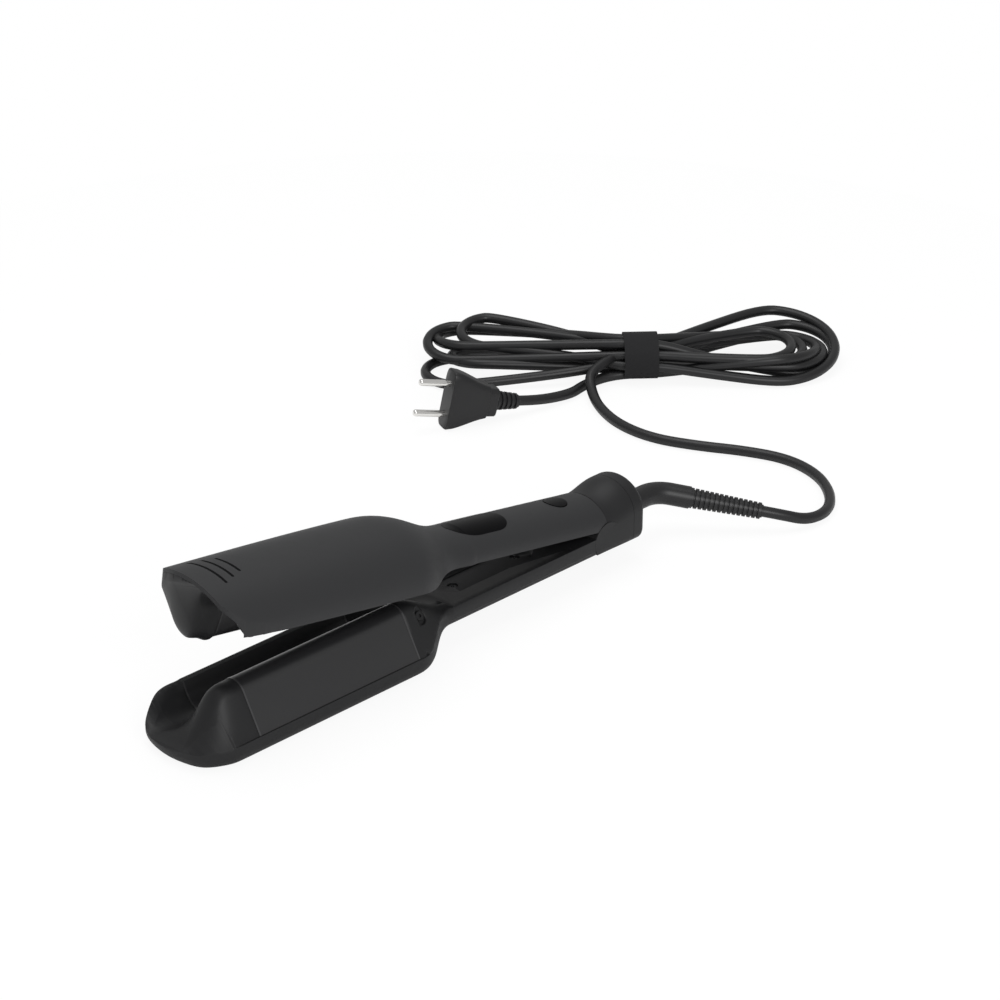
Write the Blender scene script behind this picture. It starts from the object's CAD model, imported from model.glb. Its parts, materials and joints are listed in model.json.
# %% [markdown]
# # A hair waver, dressed in Blender
# The solid model of the tool is loaded as a fixed frame: every casing, plate and pin is already
# in place, in metres, with the origin under the middle of the tool and X pointing to the cord.
# This lesson adds what the solid model leaves out: the tied cord, a finer plug and rear block,
# casings cut to their true edges, three screws, and the finish of every surface. The strap that
# ties the cord is the solid model's own.

# %% Load the frame
import json
from math import cos, radians, sin

import bmesh
import bpy
import numpy as np
from mathutils import Matrix, Vector


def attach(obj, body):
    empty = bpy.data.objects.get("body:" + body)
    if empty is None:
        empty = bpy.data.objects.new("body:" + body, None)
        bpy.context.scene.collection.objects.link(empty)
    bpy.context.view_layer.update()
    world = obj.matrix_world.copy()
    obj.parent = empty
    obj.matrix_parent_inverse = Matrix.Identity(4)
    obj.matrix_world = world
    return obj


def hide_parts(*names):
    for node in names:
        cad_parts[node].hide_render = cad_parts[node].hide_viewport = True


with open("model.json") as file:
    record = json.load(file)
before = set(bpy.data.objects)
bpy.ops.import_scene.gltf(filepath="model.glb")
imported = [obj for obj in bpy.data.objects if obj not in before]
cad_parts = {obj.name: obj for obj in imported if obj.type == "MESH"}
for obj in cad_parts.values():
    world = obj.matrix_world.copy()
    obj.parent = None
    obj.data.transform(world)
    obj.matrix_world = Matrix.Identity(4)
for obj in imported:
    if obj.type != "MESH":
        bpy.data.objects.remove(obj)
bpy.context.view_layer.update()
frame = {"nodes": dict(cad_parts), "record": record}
NODES = frame["nodes"]
MM = 0.001


def placed(name, data):
    """An object that carries the data, linked into the scene at the origin."""
    thing = bpy.data.objects.new(name, data)
    bpy.context.collection.objects.link(thing)
    return thing


# %% [markdown]
# The camera comes first, because everything else is judged through it. It looks at the tool
# from the near left, a little above, through a long lens, which keeps the parallel edges of
# the arms nearly parallel. A camera's own axes are the columns of its matrix: right, up, and
# the direction that points back from the subject.

# %% Camera
CAMERA_BACK = Vector((-0.6374, -0.6311, 0.4420)).normalized()
CAMERA_RIGHT = Vector((0, 0, 1)).cross(CAMERA_BACK).normalized()
CAMERA_UP = CAMERA_BACK.cross(CAMERA_RIGHT)
CAMERA_PLACE = Vector((-0.9279, -0.9837, 0.7469))
LENS = 112.06
SENSOR = 36.0


def make_camera():
    """A camera whose matrix columns are right, up, back and place."""
    data = bpy.data.cameras.new("camera")
    data.lens, data.sensor_width = LENS, SENSOR
    data.clip_start, data.clip_end = 0.05, 20
    camera = placed("camera", data)
    columns = Matrix((CAMERA_RIGHT, CAMERA_UP, CAMERA_BACK)).transposed()
    camera.matrix_world = Matrix.Translation(CAMERA_PLACE) @ columns.to_4x4()
    bpy.context.scene.camera = camera


make_camera()
print("camera", round(CAMERA_PLACE.length, 2), "m away, lens", LENS, "mm")

# %% [markdown]
# ## Grids
# Every new rigid piece is a grid: rows of points, where each row is one closed section of the
# piece. Faces join neighbouring rows, and one face closes each end. The upper arm is drawn
# shut, and then turned open about the hinge.

# %% Grids
HINGE = np.array([0.1267, 0, 0.0199])
OPEN_ANGLE = radians(9.5)
NOSE_TIP_X = -0.155
# a distance in millimetres that is outside the tool on any side
FAR_AWAY = 60.0
# points on a ring, where a piece names no other number
AROUND = 64
WELD_DISTANCE = 1e-6
SHARP_ANGLE = radians(32)


def full_turn(count=AROUND):
    """Angles of a full turn in equal steps, without the last one, which is the first again."""
    return np.linspace(0, 2 * np.pi, count, endpoint=False)


def grid_mesh(name, rows):
    """Closed mesh from rows of points: every row is one closed section, and two faces end it."""
    count, around = rows.shape[:2]
    index = np.arange(count * around).reshape(count, around)
    beside = np.roll(index, -1, axis=1)
    quads = np.stack([index[:-1], beside[:-1], beside[1:], index[1:]], axis=-1).reshape(-1, 4)
    ends = [index[0, ::-1].tolist(), index[-1].tolist()]
    mesh = bpy.data.meshes.new(name)
    mesh.from_pydata(rows.reshape(-1, 3), [], quads.tolist() + ends)
    tidy_mesh(mesh)
    return mesh


def tidy_mesh(mesh):
    """Join points that coincide, turn all faces outwards and keep only true edges sharp."""
    work = bmesh.new()
    work.from_mesh(mesh)
    bmesh.ops.remove_doubles(work, verts=work.verts, dist=WELD_DISTANCE)
    bmesh.ops.recalc_face_normals(work, faces=work.faces)
    work.to_mesh(mesh)
    work.free()
    mesh.shade_smooth()
    mesh.set_sharp_from_angle(angle=SHARP_ANGLE)


def opened(points):
    """Turn points of the shut upper arm about the hinge by the open angle.

    With d the distance from the hinge, x becomes dx cos + dz sin, and z becomes dz cos - dx sin.
    """
    dx, dy, dz = np.moveaxis(points - HINGE, -1, 0)
    turned_x = dx * cos(OPEN_ANGLE) + dz * sin(OPEN_ANGLE)
    turned_z = dz * cos(OPEN_ANGLE) - dx * sin(OPEN_ANGLE)
    return HINGE + np.stack([turned_x, dy, turned_z], axis=-1)


def carve(name, mesh, *cutters):
    """A piece from a mesh with the meshes of the cutters taken away from it."""
    piece = placed(name, mesh)
    helpers = [placed("cutter", cutter) for cutter in cutters]
    for helper in helpers:
        cut = piece.modifiers.new("cut", "BOOLEAN")
        cut.operation, cut.solver, cut.object = "DIFFERENCE", "EXACT", helper
    bpy.context.view_layer.update()
    result = piece.evaluated_get(bpy.context.evaluated_depsgraph_get())
    done = bpy.data.meshes.new_from_object(result)
    piece.modifiers.clear()
    piece.data = done
    for helper in helpers:
        bpy.data.objects.remove(helper)
    tidy_mesh(done)
    return piece


def welded(name):
    """A copy of a node's mesh whose points are joined, ready to be cut."""
    mesh = NODES[name].data.copy()
    tidy_mesh(mesh)
    return mesh


# %% [markdown]
# ## The cord
# The real lead is one length of round rubber cable, 6 mm thick. It leaves a ribbed sleeve,
# curves across the floor, and the rest of it is folded to and fro into a hank, which a strap
# ties in the middle. Its other end runs into the plug. In Blender a cable is best made as one
# curve with a round bevel, because a curve keeps its length and thickness however it is bent.
# The hand-picked points of the floor run come first.

# %% Where the cord leaves the sleeve and crosses the floor
TAIL_X = 0.155
BOOT_BEND = np.array([TAIL_X + 0.027, 0, 0.0225])
SLEEVE_END = np.array([TAIL_X + 0.066, -0.042, 0.0115])
CORD_OUT = (SLEEVE_END - BOOT_BEND) / np.linalg.norm(SLEEVE_END - BOOT_BEND)
SLEEVE_LENGTH = 0.0394
CORD_RADIUS = 0.003
FLOOR_RUN = np.array([
    (241, -57, 4.4), (259, -56.5, 3.1), (276, -44.5, 3.1), (290, -24, 3.1), (294, 1, 3.1),
    (285, 25, 3.1), (272, 47, 3.1), (261, 72, 3.1), (261, 98, 3.1), (270, 122, 3.1),
    (280, 138, 6), (289, 148, 12),
]) * MM

# %% [markdown]
# The hank is easiest to describe in its own axes: u runs along it, v across it and z up. Twelve
# strands pass through the tie, stacked in four rows like drinking straws, and beyond it they
# open into loops, six on the right and five on the left. A loop is half a circle between its
# near and its far strand. Each loop has its own size, height and reach, because loose turns
# that nothing ties fan out.

# %% The hank's axes and the strands in the tie
TIE = np.array([324, 140, 0]) * MM
ALONG = np.array([0.7388, -0.6739, 0])
ASIDE = np.array([0.6739, 0.7388, 0])
# (v, z) of each strand in the tie, in millimetres
STRANDS = {
    "low near": (-6.2, 5.0), "low middle": (0.0, 5.0), "low far": (6.2, 5.0),
    "waist near": (-9.6, 10.8), "waist left": (-3.2, 10.8),
    "waist right": (3.2, 10.8), "waist far": (9.6, 10.8),
    "high near": (-6.6, 16.8), "high middle": (0.0, 16.8), "high far": (6.6, 16.8),
    "top near": (-3.3, 22.6), "top far": (3.3, 22.6),
}
# strands in the order in which the cord runs through them, first to the right, then back
ORDER = [
    "high middle", "high near", "high far", "waist near", "waist far", "waist left",
    "waist right", "top near", "top far", "low middle", "low far", "low near",
]
# (reach, near v, near z, far v, far z) of each loop, in millimetres
RIGHT_LOOPS = [
    (90, -14, 15.5, 26, 17), (118, -19, 3.1, 59, 17), (110, -12, 9.4, 40, 8),
    (117, -8, 3.1, 48, 12), (98, -6, 9.4, 34, 11), (106, -16, 15.8, 46, 5.8),
]
LEFT_LOOPS = [
    (124, 8, 9.4, 46, 15.6), (104, 12, 15.6, 50, 19), (126, -14, 3.1, 26, 3.1),
    (118, 14, 15.6, 54, 9.4), (110, 2, 9.4, 40, 3.1),
]
TIE_HALF = 10
LOOP_POINTS = 8
# a smooth curve cuts its corners, so a loop is drawn a little longer than it should come out
OVERREACH = 1.03
# where a strand swings from the tie towards its loop, as a share of the loop's reach
WAIST_SHARE = 0.36


def turn(side, loop, start_near):
    """Points of one loop: out along one strand, half a circle, and back along the other.

    On the half circle the angle a runs from -90 to 90 degrees; u is the centre plus the
    overreach times the radius times cos a, and v and z go from one strand to the other with
    (1 + sin a) / 2.
    """
    reach, near_v, near_z, far_v, far_z = loop
    radius = 0.5 * (far_v - near_v)
    angle = np.radians(np.linspace(-90, 90, LOOP_POINTS))
    share = 0.5 * (1 + np.sin(angle))
    u = side * (reach - radius + OVERREACH * radius * np.cos(angle))
    v = near_v + share * (far_v - near_v)
    z = near_z + share * (far_z - near_z)
    points = np.stack([u, v, z], axis=1)
    return points if start_near else points[::-1]


def hank_points():
    """The whole hank as (u, v, z) rows, strand after strand and loop after loop."""
    rows = []
    for i, name in enumerate(ORDER):
        v, z = STRANDS[name]
        outward = 1 if i % 2 == 0 else -1
        rows += [(-outward * TIE_HALF, v, z), (outward * TIE_HALF, v, z)]
        if i == len(ORDER) - 1:
            break
        right = outward == 1
        loop = RIGHT_LOOPS[i // 2] if right else LEFT_LOOPS[i // 2]
        arc = turn(outward, loop, start_near=not right)
        next_v, next_z = STRANDS[ORDER[i + 1]]
        waist = outward * WAIST_SHARE * loop[0]
        into = (waist, 0.5 * (v + arc[0, 1]), 0.5 * (z + arc[0, 2]))
        back = (waist, 0.5 * (next_v + arc[-1, 1]), 0.5 * (next_z + arc[-1, 2]))
        rows += [into, *arc, back]
    return np.array(rows)


def to_frame(uvz):
    """Rows of (u, v, z) in millimetres as points of the frame, in metres."""
    u, v, z = (uvz * MM).T
    return TIE + u[:, None] * ALONG + v[:, None] * ASIDE + z[:, None] * np.array([0, 0, 1])


# %% [markdown]
# The plug lies on the floor beside the hank, with its pins pointing away from it and a little
# up. Its own axes are out along the pins, to the side, and up along the tall way of its face.

# %% The plug's axes and the last stretch of cord
PLUG_YAW, PLUG_PITCH = radians(158), radians(12)
PLUG_OUT = np.array([
    cos(PLUG_PITCH) * cos(PLUG_YAW), cos(PLUG_PITCH) * sin(PLUG_YAW), sin(PLUG_PITCH),
])
PLUG_FACE = np.array([195, 170.7, 17.6]) * MM
PLUG_DEPTH = 0.045
PLUG_BACK = PLUG_FACE - PLUG_OUT * PLUG_DEPTH
PLUG_SIDE = np.array([-sin(PLUG_YAW), cos(PLUG_YAW), 0])
PLUG_UP = np.cross(PLUG_OUT, PLUG_SIDE)
TAIL_RUN = np.array([(300, 148.5, 4.2), (286, 150, 3.3), (272, 147, 3.1)]) * MM

# %% [markdown]
# The plug's body tapers backwards from its face to a straight flange, and a short ribbed sleeve
# follows. Its sections are superellipses, which lie between an ellipse and a rectangle.

# %% Plug body and sleeve
# (distance behind the face, height, thickness) of the body's sections, in millimetres
BODY_SECTIONS = [
    (0, 33.6, 12.4), (0.3, 34.8, 13.3), (1.0, 35.3, 13.7), (5, 34.0, 13.7), (9, 31.2, 13.7),
    (13, 27.8, 13.6), (17, 24.3, 13.4), (21, 21.4, 13.1), (24.0, 19.8, 13.0),
    (24.4, 17.6, 12.4), (29.4, 17.2, 12.2), (30, 16.4, 11.4),
]
BOXY, ROUND = 5, 2
RIB_HEIGHT = 0.9
# one rib as (share of its pitch, share of its height)
RIB_PROFILE = np.array([(0.0, 0), (0.08, 1), (0.52, 1), (0.6, 0), (0.9, 0)])


def plug_piece(name, sections, power):
    """Piece behind the plug's face from sections (distance behind, height, thickness) in mm.

    On a section the height goes with the sign of cos a times |cos a|^(2/n), and the thickness
    with the sign of sin a times |sin a|^(2/n).
    """
    behind, height, thickness = np.array(sections).T[:, :, None]
    angle = full_turn()
    tall = 0.5 * height * np.sign(np.cos(angle)) * np.abs(np.cos(angle)) ** (2 / power)
    wide = 0.5 * thickness * np.sign(np.sin(angle)) * np.abs(np.sin(angle)) ** (2 / power)
    back = np.broadcast_to(behind, tall.shape)
    rows = tall[..., None] * PLUG_UP + wide[..., None] * PLUG_SIDE - back[..., None] * PLUG_OUT
    piece = placed(name, grid_mesh(name, PLUG_FACE + rows * MM))
    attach(piece, "lower_arm")
    return piece


def rib_sections(start, length, count, first, last):
    """Sections of a tapering sleeve: its ribs are wide for about half of their pitch.

    The radius goes from first to last with the place along the sleeve, less the rib height
    between the ribs.
    """
    place = (np.arange(count)[:, None] + RIB_PROFILE[:, 0]).ravel() / count
    radius = first + (last - first) * place - RIB_HEIGHT * (1 - np.tile(RIB_PROFILE[:, 1], count))
    return np.stack([start + length * place, 2 * radius, 2 * radius], axis=1)


sleeve_sections = [*rib_sections(start=30, length=15, count=5, first=5.8, last=4.4), (45, 7.2, 7.2)]
plug_body = plug_piece("plug_housing", BODY_SECTIONS, BOXY)
plug_sleeve = plug_piece("plug_sleeve", sleeve_sections, ROUND)
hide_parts("plug_body")
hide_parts("plug_boot")
print("plug:", len(plug_body.data.polygons), "+", len(plug_sleeve.data.polygons), "faces")

# %% [markdown]
# Every point of a curve has a radius of its own, which multiplies the bevel, and Blender also
# adds it to the curve's bounding box. Points of radius 1 would make that box a metre too large
# on every side, so the points carry the cable's own radius here, and the bevel is their ratio.

# %% One curve for the whole cord
POINT_RADIUS = CORD_RADIUS
STRAIGHT_OUT, STRAIGHT_IN, INSIDE_PLUG = 0.0105, 0.009, 0.012


def make_cord():
    """A NURBS curve of order 3 along the sleeve, the floor run, the hank and the tail."""
    start = SLEEVE_END - CORD_OUT * 0.5 * SLEEVE_LENGTH
    leave = [start, start + 0.3 * SLEEVE_LENGTH * CORD_OUT, SLEEVE_END + STRAIGHT_OUT * CORD_OUT]
    enter = [PLUG_BACK - PLUG_OUT * STRAIGHT_IN, PLUG_BACK + PLUG_OUT * INSIDE_PLUG]
    route = np.vstack([leave, FLOOR_RUN, to_frame(hank_points()), TAIL_RUN, enter])
    data = bpy.data.curves.new("cord_line", "CURVE")
    data.dimensions = "3D"
    data.bevel_depth, data.bevel_resolution = CORD_RADIUS / POINT_RADIUS, 4
    data.use_fill_caps = True
    spline = data.splines.new("NURBS")
    spline.points.add(len(route) - 1)
    spline.points.foreach_set("co", np.hstack([route, np.ones((len(route), 1))]).ravel())
    spline.points.foreach_set("radius", np.full(len(route), POINT_RADIUS))
    spline.order_u = 3
    spline.use_endpoint_u = True
    spline.resolution_u = 6
    return placed("mains_cord", data), route


def line_length(line):
    """Length of a curve: the sum of its short steps, read from it without its bevel."""
    plain = line.data.copy()
    plain.bevel_depth = 0
    probe = bpy.data.objects.new("probe", plain)
    mesh = bpy.data.meshes.new_from_object(probe)
    points = np.zeros(len(mesh.vertices) * 3)
    mesh.vertices.foreach_get("co", points)
    bpy.data.objects.remove(probe)
    return float(np.linalg.norm(np.diff(points.reshape(-1, 3), axis=0), axis=1).sum())


mains_cord, cord_route = make_cord()
print("cord length:", round(line_length(mains_cord), 3), "m in", len(cord_route), "points")
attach(mains_cord, "lower_arm")
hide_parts("cord", "cord_tail", "cord_hank")
line_length(mains_cord)

# %% [markdown]
# ## Casings with a finer form
# Six casings get a finer form here than the solid model gives them. The rear block and its cap
# are drawn afresh, as a stack of sections. The two noses, the winged cover and the inner face
# of the handle start from the solid model's own meshes, and grids are cut away from them, as a
# milling cutter would do it.

# %% The rear block and its cap
BLOCK_FRONT, CAP_FRONT, BLOCK_BACK = 126.7, 145.8, 155.0
HANDLE_HALF, BLOCK_HALF = 18.0, 18.4
HANDLE_BOTTOM = 11.0
# heights at the front and at the back of the block
SHOULDERS, CROWNS = (25.3, 27.5), (39.6, 43.2)
CORNER, REAR_ROUND = 5.5, 4.0
SEAM = 0.1
BLOCK_ROWS = 25
# the hinge's height, and the round lugs of the upper arm that turn between the two ears
HINGE_HEIGHT, LUG_ROOM, EAR_RADIUS, LUG_HALF = 19.9, 7.6, 9.6, 10.4
SOCKET_HEIGHT, SOCKET_RADIUS, SOCKET_REACH = 22.5, 9.3, (149, 165)


def arch_rows(x, half, bottom, shoulder, crown, corner):
    """Rows of closed sections, in millimetres.

    A section is a quarter circle at each lower corner and half an ellipse over the shoulders:
    y is half times cos a, and z is the shoulder plus (crown - shoulder) times sin a.
    """
    x, half, bottom, shoulder, crown = (
        np.broadcast_to(value, np.shape(x))[:, None]
        for value in (x, half, bottom, shoulder, crown)
    )
    low = np.radians(np.linspace(-90, 0, 9))
    over = np.radians(np.linspace(0, 180, 49))
    right_y = half - corner + corner * np.cos(low)
    right_z = bottom + corner + corner * np.sin(low)
    y = np.hstack([right_y, half * np.cos(over), -right_y[:, ::-1]])
    z = np.hstack([right_z, shoulder + (crown - shoulder) * np.sin(over), right_z[:, ::-1]])
    return np.stack([np.broadcast_to(x, y.shape), y, z], axis=-1)


def hinge_bar(radius, sides, lowest=-FAR_AWAY):
    """Rows of a round bar about the hinge, a ring for each y in sides, cut off below lowest.

    A ring is x = hinge x + radius times cos a and z = hinge z + radius times sin a.
    """
    angle = full_turn()
    ring_x, ring_z = BLOCK_FRONT + radius * np.cos(angle), HINGE_HEIGHT + radius * np.sin(angle)
    lowest = np.broadcast_to(lowest, np.shape(sides))
    return np.stack([
        np.stack([ring_x, np.full(AROUND, y), np.maximum(ring_z, low)], axis=-1)
        for y, low in zip(sides, lowest)
    ])


def make_rear_block():
    """The block behind the hinge: sections whose size follows a ramp of half a cosine wave."""
    share = np.linspace(0, 1, BLOCK_ROWS)
    ramp = 0.5 * (1 - np.cos(np.pi * share))
    half, shoulder, crown = (
        first + ramp * (last - first)
        for first, last in ((HANDLE_HALF, BLOCK_HALF), SHOULDERS, CROWNS)
    )
    x = BLOCK_FRONT + share * (CAP_FRONT - SEAM - BLOCK_FRONT)
    rows = arch_rows(x, half, HANDLE_BOTTOM, shoulder, crown, CORNER)
    lug_room = grid_mesh("lug_room", hinge_bar(LUG_ROOM, (-LUG_HALF, LUG_HALF)) * MM)
    return carve("rear_block", grid_mesh("rear_block", rows * MM), lug_room)


def make_knuckles():
    """Two round ears beside the lugs, flush with the handle down to its rounded lower corners."""
    turn_in = np.linspace(0, np.pi / 2, 9)
    sides = np.concatenate([[LUG_HALF], HANDLE_HALF - CORNER + CORNER * np.sin(turn_in)])
    lowest = np.concatenate([[HANDLE_BOTTOM], HANDLE_BOTTOM + CORNER * (1 - np.cos(turn_in))])
    work = bmesh.new()
    for side in (-1, 1):
        work.from_mesh(grid_mesh("ear", hinge_bar(EAR_RADIUS, side * sides, lowest) * MM))
    mesh = bpy.data.meshes.new("knuckles")
    work.to_mesh(mesh)
    work.free()
    tidy_mesh(mesh)
    return placed("knuckles", mesh)


def make_end_cap():
    """The cap: its last millimetres draw in along a quarter circle, and a round socket is cut."""
    turn_in = np.linspace(0, np.pi / 2, 12)
    rounded = BLOCK_BACK - REAR_ROUND + REAR_ROUND * np.sin(turn_in)
    x = np.concatenate([[CAP_FRONT + SEAM], rounded])
    past = np.clip((x - (BLOCK_BACK - REAR_ROUND)) / REAR_ROUND, 0, 1)
    drawn_in = REAR_ROUND * (1 - np.sqrt(1 - past**2))
    rows = arch_rows(
        x, BLOCK_HALF - drawn_in, HANDLE_BOTTOM + drawn_in, SHOULDERS[1], CROWNS[1] - drawn_in,
        CORNER,
    )
    angle = full_turn(72)
    ring_y, ring_z = SOCKET_RADIUS * np.cos(angle), SOCKET_HEIGHT + SOCKET_RADIUS * np.sin(angle)
    ring = np.stack([np.zeros_like(angle), ring_y, ring_z], axis=-1)
    socket = np.stack([ring + (reach, 0, 0) for reach in SOCKET_REACH])
    return carve("rear_cap", grid_mesh("rear_cap", rows * MM), grid_mesh("socket", socket * MM))


rear_block, knuckles, rear_cap = make_rear_block(), make_knuckles(), make_end_cap()
for piece in (rear_block, knuckles, rear_cap):
    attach(piece, "lower_arm")
    print(piece.name, len(piece.data.polygons), "faces")
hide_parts("hinge_housing")
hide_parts("end_cap")


# %% [markdown]
# The noses carry the S-wave of the plates out to the tip. Across the jaw the wave is a straight
# flank, a circle over the ridge, a straight drop, a circle in the trough and a straight rise,
# each touching the next. Towards the tip the ridge sinks, so the wave runs out smoothly. A
# cutter that fills everything above the wave takes the rest of the casing away.

# %% The S-wave
RIDGE, RIDGE_RADIUS = -10.4, 7.8
TROUGH, TROUGH_RADIUS = 13.3, 12.8
NEAR_EDGE, RIM, WALL_Y = -28.2, 26.9, 29.0
# the wall outside the rim stands this much above it
LIP = 1.0
WAVE_MIRROR = 41.4
ARC_POINTS = 18
WAVE_STEP = 0.5


def wave(top, bottom, near_z, rim_z):
    """Points (y, z) of one wave, from the near edge to the rim.

    A tangent from a point to a circle leaves the line to its centre by asin(radius / distance),
    and the one between the two circles by asin((r1 + r2) / distance).
    """
    ridge_z, trough_z = top - RIDGE_RADIUS, bottom + TROUGH_RADIUS
    dy, dz = RIDGE - NEAR_EDGE, ridge_z - near_z
    flank = np.arctan2(dz, dy) + np.arcsin(RIDGE_RADIUS / np.hypot(dy, dz))
    dy, dz = TROUGH - RIDGE, trough_z - ridge_z
    drop = np.arctan2(dz, dy) - np.arcsin((RIDGE_RADIUS + TROUGH_RADIUS) / np.hypot(dy, dz))
    dy, dz = RIM - TROUGH, rim_z - trough_z
    rise = np.arctan2(dz, dy) + np.arcsin(TROUGH_RADIUS / np.hypot(dy, dz))
    over = np.linspace(flank, drop, ARC_POINTS) + np.pi / 2
    under = np.linspace(drop, rise, ARC_POINTS) - np.pi / 2
    over_y, over_z = RIDGE + RIDGE_RADIUS * np.cos(over), ridge_z + RIDGE_RADIUS * np.sin(over)
    under_y = TROUGH + TROUGH_RADIUS * np.cos(under)
    under_z = trough_z + TROUGH_RADIUS * np.sin(under)
    y = np.hstack([NEAR_EDGE, over_y, under_y, RIM])
    z = np.hstack([near_z, over_z, under_z, rim_z])
    return np.stack([y, z], axis=-1)


def running_mean(values, half):
    """Each value becomes the mean of itself and its neighbours up to half places away."""
    window = 2 * half + 1
    return np.convolve(np.pad(values, half, "edge"), np.full(window, 1 / window), "valid")


def over_wave(stations):
    """Rows of a cutter that fills everything above a wave running along the tool, in millimetres.

    A station is (x, ridge, trough, near edge, rim). Between stations the heights are joined by
    straight lines and then smoothed by a running mean over 2.5 mm.
    """
    table = np.array(stations)
    x = np.arange(table[0, 0], table[-1, 0] + 0.5 * WAVE_STEP, WAVE_STEP)
    heights = [running_mean(np.interp(x, table[:, 0], column), 2) for column in table[:, 1:].T]
    rows = []
    for place, top, bottom, near_z, rim_z in zip(x, *heights):
        lip = rim_z + LIP
        above = [
            (WALL_Y, lip), (FAR_AWAY, lip), (FAR_AWAY, FAR_AWAY), (-FAR_AWAY, FAR_AWAY),
            (-FAR_AWAY, near_z),
        ]
        section = np.vstack([wave(top, bottom, near_z, rim_z), above])
        rows.append(np.column_stack([np.full(len(section), place), section]))
    return np.array(rows)


def mirrored(rows):
    """Rows of the lower jaw turned over for the upper one: y to -y, z to the mirror less z."""
    return np.stack([rows[..., 0], -rows[..., 1], WAVE_MIRROR - rows[..., 2]], axis=-1)


# stations in millimetres, x from the tip of the nose; the upper ones are turned over later
LOWER_NOSE = [
    (-4, 6.6, 6.0, 5.8, 6.4), (0, 8.3, 6.9, 6.6, 7.9), (4.4, 10.8, 7.6, 7.2, 9.8),
    (8.5, 14.6, 8.2, 8.0, 12.4), (12.6, 19.8, 7.9, 8.8, 14.3), (16.4, 25.6, 7.3, 9.9, 15.8),
    (20.2, 30.4, 6.9, 11.3, 17.1), (24, 33.4, 6.6, 11.6, 18),
]
UPPER_NOSE = [
    (0, -9, -9, -9, -9), (7.5, -3, -5, -5, -6), (11.6, 4.5, -2, -2, -3),
    (13.9, 12, 0.5, 1.5, 0.5), (16, 19, 2, 4.5, 5.5), (18, 25.6, 3.4, 7, 10),
    (20.4, 30.2, 4.6, 9, 13.6), (23.1, 32.7, 5.6, 10.6, 16.6), (26, 34.2, 6.4, 11.6, 18.2),
]

# %% [markdown]
# The cover's front edge is a rounded line seen from above. It is a table of points, from the
# near wing round to the far one, and the cutter is everything ahead of that line.

# %% The cover's front edge
# (x, y) in millimetres, x from the tip of the nose
COVER_EDGE = np.array([
    (48, -33.6), (37, -32.5), (28, -31.9), (18.8, -30.4), (14, -28.6), (11, -25.6),
    (10, -21.9), (9.5, -17.3), (9.1, -12.3), (9.0, -6.8), (9.1, 0), (9.8, 10), (12.9, 20.1),
    (20.8, 27.5), (29, 31.5), (40, 33.2), (50, 34.2),
])
EDGE_POINTS = 160


def cover_front():
    """Rows of a cutter ahead of the cover's front edge, from far below the arm to far above.

    The edge is sampled at even steps of its length and smoothed by a running mean.
    """
    steps = np.linalg.norm(np.diff(COVER_EDGE, axis=0), axis=1)
    along = np.concatenate([[0], np.cumsum(steps)])
    places = np.linspace(0, along[-1], EDGE_POINTS)
    x, y = (running_mean(np.interp(places, along, column), 4) for column in COVER_EDGE.T)
    x = np.hstack([-FAR_AWAY, x[0], x, x[-1], -FAR_AWAY])
    y = np.hstack([-FAR_AWAY, -FAR_AWAY, y, FAR_AWAY, FAR_AWAY])
    heights = (-FAR_AWAY, 2 * FAR_AWAY)
    return np.stack([np.column_stack([x, y, np.full(len(x), z)]) for z in heights])


def from_tip(rows):
    """Rows in millimetres behind the nose tip, as metres of the frame."""
    return rows * MM + (NOSE_TIP_X, 0, 0)


# %% [markdown]
# The inner face of the lower handle has a shallow recess with two screws, and beside the ridge
# an oval slot holds a third. A stadium is a rectangle with a half circle at each end, and a
# screw head is a profile turned about its axis.

# %% Recess, slot and screws
FORWARD, ACROSS, UP = (1, 0, 0), (0, 1, 0), (0, 0, 1)
FLANK_OUT, FLANK_UP = (0, -0.866, 0.5), (0, 0.5, 0.866)
# places and sizes in millimetres, x from the tip of the nose
RECESS, RECESS_STRAIGHT, RECESS_RADIUS = (209, 0, 22.2), 46, 8
SEAT, SEAT_RADIUS = 20.4, 2.8
FRONT_SCREW_X, REAR_SCREW_X = 187, 231
SLOT = np.array([147.1, -18.6, 27.6])
SLOT_DEPTH, SLOT_STRAIGHT, SLOT_RADIUS = 2.0, 3.2, 2.9
SLOT_FLOOR = SLOT - SLOT_DEPTH * np.array(FLANK_OUT)
# (radius, height) of a screw head from its rim in to its dished drive
SCREW_PROFILE = [(2.6, 0), (2.6, 0.8), (2.3, 1.15), (1.5, 1.2), (0.9, 1.1), (0.7, 0.5)]


def stadium(origin, long_way, cross_way, straight, radius, height):
    """Rows of a prism over a stadium; its height runs along the cross product of its two ways."""
    long_way, cross_way = np.array(long_way, float), np.array(cross_way, float)
    out = np.cross(long_way, cross_way)
    angle = full_turn()
    u = radius * np.cos(angle) + np.where(np.cos(angle) > 0, 1, -1) * straight / 2
    ring = u[:, None] * long_way + (radius * np.sin(angle))[:, None] * cross_way
    return np.stack([np.array(origin) + ring + level * out for level in (0, height)])


def screw(name, origin, out):
    """A screw head: its profile of (radius, height) turned about the axis, with a dished drive."""
    out = np.array(out, float)
    first = np.cross(out, FORWARD)
    second = np.cross(out, first)
    angle = full_turn(40)
    ring = np.cos(angle)[:, None] * first + np.sin(angle)[:, None] * second
    rows = [np.array(origin) + radius * ring + height * out for radius, height in SCREW_PROFILE]
    piece = placed(name, grid_mesh(name, from_tip(np.stack(rows))))
    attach(piece, "lower_arm")
    return piece


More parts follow.
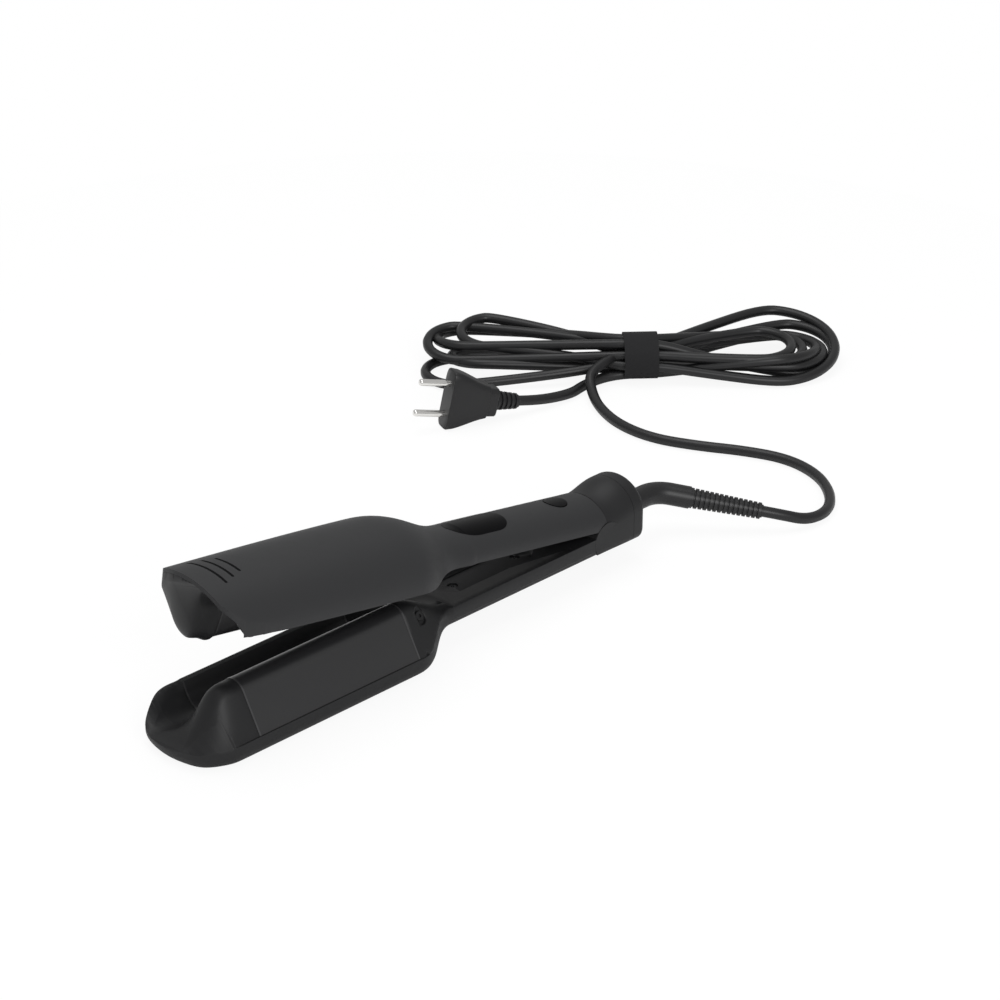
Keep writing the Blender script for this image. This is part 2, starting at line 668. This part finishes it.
inner_cuts = [stadium(RECESS, FORWARD, ACROSS, RECESS_STRAIGHT, RECESS_RADIUS, 20)] + [
    stadium((x, 0, SEAT), FORWARD, ACROSS, 0, SEAT_RADIUS, 20)
    for x in (FRONT_SCREW_X, REAR_SCREW_X)
] + [stadium(SLOT_FLOOR, FLANK_UP, (-1, 0, 0), SLOT_STRAIGHT, SLOT_RADIUS, 6)]
screws = [
    screw("handle_screw_front", (FRONT_SCREW_X, 0, SEAT), UP),
    screw("handle_screw_rear", (REAR_SCREW_X, 0, SEAT), UP),
    screw("neck_screw", SLOT_FLOOR, FLANK_OUT),
]
print(len(inner_cuts), "cuts and", len(screws), "screws")

# %% [markdown]
# A Boolean modifier takes one mesh away from another. Its exact solver wants closed shells, so
# the loose triangles of the solid model's mesh are joined in a copy first. A moulded edge is
# never quite sharp and catches a thin line of light, so a narrow Bevel rounds the long edges.

# %% Cut the casings
SOFT_EDGE, SOFT_EDGE_ANGLE = 0.0003, radians(50)
lower_cut = grid_mesh("lower_cut", from_tip(over_wave(LOWER_NOSE)))
upper_cut = grid_mesh("upper_cut", opened(from_tip(mirrored(over_wave(UPPER_NOSE)))))
front_cut = grid_mesh("front_cut", opened(from_tip(cover_front())))
lower_casing = carve("lower_casing", welded("lower_shell"), lower_cut)
cover = carve("cover", welded("upper_shell"), front_cut)
upper_nose = carve("upper_nose_casing", welded("upper_nose"), front_cut, upper_cut)
inner_face = carve(
    "inner_face", welded("lower_inner_cover"),
    *(grid_mesh("cut", from_tip(rows)) for rows in inner_cuts),
)
for piece, body, node in (
    (inner_face, "lower_arm", "lower_inner_cover"), (lower_casing, "lower_arm", "lower_shell"),
    (cover, "upper_arm", "upper_shell"), (upper_nose, "upper_arm", "upper_nose"),
):
    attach(piece, body)
    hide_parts(node)
    print(piece.name, len(piece.data.polygons), "faces")
for piece in (cover, lower_casing, rear_cap):
    edge = piece.modifiers.new("soft edges", "BEVEL")
    edge.width, edge.segments = SOFT_EDGE, 2
    edge.limit_method, edge.angle_limit = "ANGLE", SOFT_EDGE_ANGLE

# %% [markdown]
# ## Finishes
# Every casing is moulded plastic, so all finishes share one recipe: a dark base colour, a
# roughness that varies a little, and a very fine grain that a Bump node makes from noise. The
# noise reads Object coordinates, so the grain stays on the piece when it moves.

# %% A moulded plastic
CLOUD_SCALE, CLOUD_DETAIL = 60, 3
GRAIN_DETAIL, GRAIN_STRENGTH = 2, 0.6


def plastic(name, colour, roughness, grain=0.0, grain_size=0.0005, spread=0.04, specular=0.5):
    """Principled plastic: noise moves the roughness by spread and the height by grain metres."""
    material = bpy.data.materials.new(name)
    material.use_nodes = True
    nodes, links = material.node_tree.nodes, material.node_tree.links
    shader = nodes["Principled BSDF"]
    shader.inputs["Base Color"].default_value = (*colour, 1)
    shader.inputs["Specular IOR Level"].default_value = specular
    place = nodes.new("ShaderNodeTexCoord")
    cloud = nodes.new("ShaderNodeTexNoise")
    cloud.inputs["Scale"].default_value = CLOUD_SCALE
    cloud.inputs["Detail"].default_value = CLOUD_DETAIL
    links.new(place.outputs["Object"], cloud.inputs["Vector"])
    ramp = nodes.new("ShaderNodeMapRange")
    ramp.inputs["To Min"].default_value = roughness - spread
    ramp.inputs["To Max"].default_value = roughness + spread
    links.new(cloud.outputs["Fac"], ramp.inputs["Value"])
    links.new(ramp.outputs["Result"], shader.inputs["Roughness"])
    if grain > 0:
        fine = nodes.new("ShaderNodeTexNoise")
        fine.inputs["Scale"].default_value = 1 / grain_size
        fine.inputs["Detail"].default_value = GRAIN_DETAIL
        bump = nodes.new("ShaderNodeBump")
        bump.inputs["Distance"].default_value = grain
        bump.inputs["Strength"].default_value = GRAIN_STRENGTH
        links.new(place.outputs["Object"], fine.inputs["Vector"])
        links.new(fine.outputs["Fac"], bump.inputs["Height"])
        links.new(bump.outputs["Normal"], shader.inputs["Normal"])
    return material


def metal(name, colour, roughness):
    """Polished metal: the same recipe, fully metallic and with a smaller spread of roughness."""
    material = plastic(name, colour, roughness, spread=0.03)
    material.node_tree.nodes["Principled BSDF"].inputs["Metallic"].default_value = 1
    return material


# %% [markdown]
# The tool is black all over, and its parts differ in sheen: the cover is soft and dull, the
# casings a little darker, the plates glazed, the cable slightly shiny and the strap woven.

# %% The finishes of this tool
FINISHES = {
    "matte_shell": plastic(
        "soft_touch_black", (0.0150, 0.0152, 0.0162), 0.56, 0.00003, 0.0006, specular=0.3),
    "matte_body": plastic(
        "moulded_black", (0.0085, 0.0086, 0.0092), 0.5, 0.00002, 0.0005, specular=0.26),
    "plate_coating": plastic(
        "glazed_black", (0.013, 0.013, 0.0138), 0.36, spread=0.02, specular=0.5),
    "trim": plastic("smooth_black", (0.03, 0.03, 0.031), 0.3, specular=0.6),
    "lens": plastic("gloss_window", (0.0012, 0.0012, 0.0015), 0.3, spread=0.01, specular=0.04),
    "inner_resin": plastic("inner_resin", (0.03, 0.03, 0.031), 0.6),
    "board": plastic("board_green", (0.02, 0.12, 0.05), 0.45),
    "heater_ceramic": plastic("heater_ceramic", (0.75, 0.73, 0.68), 0.6),
    "cord_rubber": plastic(
        "cable_rubber", (0.008, 0.008, 0.0086), 0.4, 0.00002, 0.0012, specular=0.34),
    "strap_fabric": plastic(
        "strap_fabric", (0.011, 0.011, 0.0118), 0.85, 0.0002, 0.0006, specular=0.25),
    "steel": metal("bright_steel", (0.62, 0.62, 0.63), 0.3),
    "pin_metal": metal("nickel_plate", (0.72, 0.71, 0.69), 0.22),
}
SCREW_BLACK = plastic("blackened_steel", (0.006, 0.006, 0.0064), 0.4, specular=0.3)
print(len(FINISHES) + 1, "finishes")

# %% [markdown]
# The record names the finish of every solid. The pieces that are made here take theirs from a
# table. The screws are steel in the record's words, and blackened to look at.

# %% Give every piece its finish
SLOTS = {part["node"]: part["material_slot"] for part in frame["record"]["subparts"]}
for name, node in NODES.items():
    node.data.materials.clear()
    node.data.materials.append(FINISHES[SLOTS[name]])
REMADE = {
    mains_cord: "cord_rubber", plug_body: "cord_rubber", plug_sleeve: "cord_rubber",
    rear_block: "matte_body", knuckles: "matte_body", rear_cap: "matte_body",
    lower_casing: "matte_body", upper_nose: "matte_body", cover: "matte_shell",
    inner_face: "matte_body", **{head: "steel" for head in screws},
}
for piece, slot in REMADE.items():
    piece.data.materials.clear()
    piece.data.materials.append(FINISHES[slot])
for head in screws:
    head.data.materials[0] = SCREW_BLACK

# %% [markdown]
# ## Floor, background and light
# A tool this dark is drawn by its reflections, so the light matters more than the colours. The
# world is an even pale sky, which the camera sees as white, and so is the floor, which glows
# for the camera alone and keeps a little of its shading, for the tool's shadow.

# %% Floor
FLOOR_MIDDLE, FLOOR_RADIUS, FLOOR_HEIGHT = (0.14, 0.1), 0.55, -0.0002
FLOOR_CORNERS = 96
CAMERA_GLOW = 0.9


def make_floor():
    """A white disc just under the tool and its cord: the middle plus the radius times cos, sin."""
    angle = full_turn(FLOOR_CORNERS)
    rim = np.stack([
        FLOOR_MIDDLE[0] + FLOOR_RADIUS * np.cos(angle),
        FLOOR_MIDDLE[1] + FLOOR_RADIUS * np.sin(angle),
        np.full(FLOOR_CORNERS, FLOOR_HEIGHT),
    ], axis=1)
    data = bpy.data.meshes.new("floor")
    data.from_pydata(rim, [], [list(range(FLOOR_CORNERS))])
    floor = placed("floor", data)
    material = bpy.data.materials.new("white_floor")
    material.use_nodes = True
    nodes, links = material.node_tree.nodes, material.node_tree.links
    shader = nodes["Principled BSDF"]
    shader.inputs["Base Color"].default_value = (0.9, 0.9, 0.9, 1)
    shader.inputs["Roughness"].default_value = 0.9
    glow = nodes.new("ShaderNodeEmission")
    glow.inputs["Color"].default_value = (1, 1, 1, 1)
    glow.inputs["Strength"].default_value = 1.0
    path = nodes.new("ShaderNodeLightPath")
    mix = nodes.new("ShaderNodeMixShader")
    share = nodes.new("ShaderNodeMath")
    share.operation = "MULTIPLY"
    share.inputs[1].default_value = CAMERA_GLOW
    links.new(path.outputs["Is Camera Ray"], share.inputs[0])
    links.new(share.outputs[0], mix.inputs["Fac"])
    links.new(shader.outputs[0], mix.inputs[1])
    links.new(glow.outputs[0], mix.inputs[2])
    links.new(mix.outputs[0], nodes["Material Output"].inputs["Surface"])
    data.materials.append(material)


make_floor()

# %% [markdown]
# Large soft lamps stand to the left of the tool and above it, and the long edges catch them as
# thin bright lines.

# %% World and lamps
SKY_LIGHT, SKY_SEEN = 0.55, 1.0


def make_world():
    """An even sky: dim grey for light, white for the camera."""
    world = bpy.data.worlds.new("studio")
    world.use_nodes = True
    bpy.context.scene.world = world
    nodes, links = world.node_tree.nodes, world.node_tree.links
    sky = nodes["Background"]
    sky.inputs["Color"].default_value = (1, 1, 1, 1)
    path = nodes.new("ShaderNodeLightPath")
    strength = nodes.new("ShaderNodeMapRange")
    strength.inputs["To Min"].default_value = SKY_LIGHT
    strength.inputs["To Max"].default_value = SKY_SEEN
    links.new(path.outputs["Is Camera Ray"], strength.inputs["Value"])
    links.new(strength.outputs["Result"], sky.inputs["Strength"])


def lamp(name, place, size, power):
    """A square soft lamp that faces the origin."""
    data = bpy.data.lights.new(name, "AREA")
    data.size, data.energy = size, power
    aim = (-Vector(place)).to_track_quat("-Z", "Y")
    placed(name, data).matrix_world = Matrix.Translation(place) @ aim.to_matrix().to_4x4()


make_world()
lamp("key", place=(-0.6, -1.4, 0.9), size=0.9, power=18)
lamp("top", place=(0.1, 0.3, 1.6), size=1.2, power=14)
bpy.context.scene.view_settings.view_transform = "Standard"

# %% [markdown]
# The box of the solid model and the box of the dressed scene are written side by side. They
# should differ by no more than the finer forms do.

# %% Sizes before and after
bpy.context.view_layer.update()
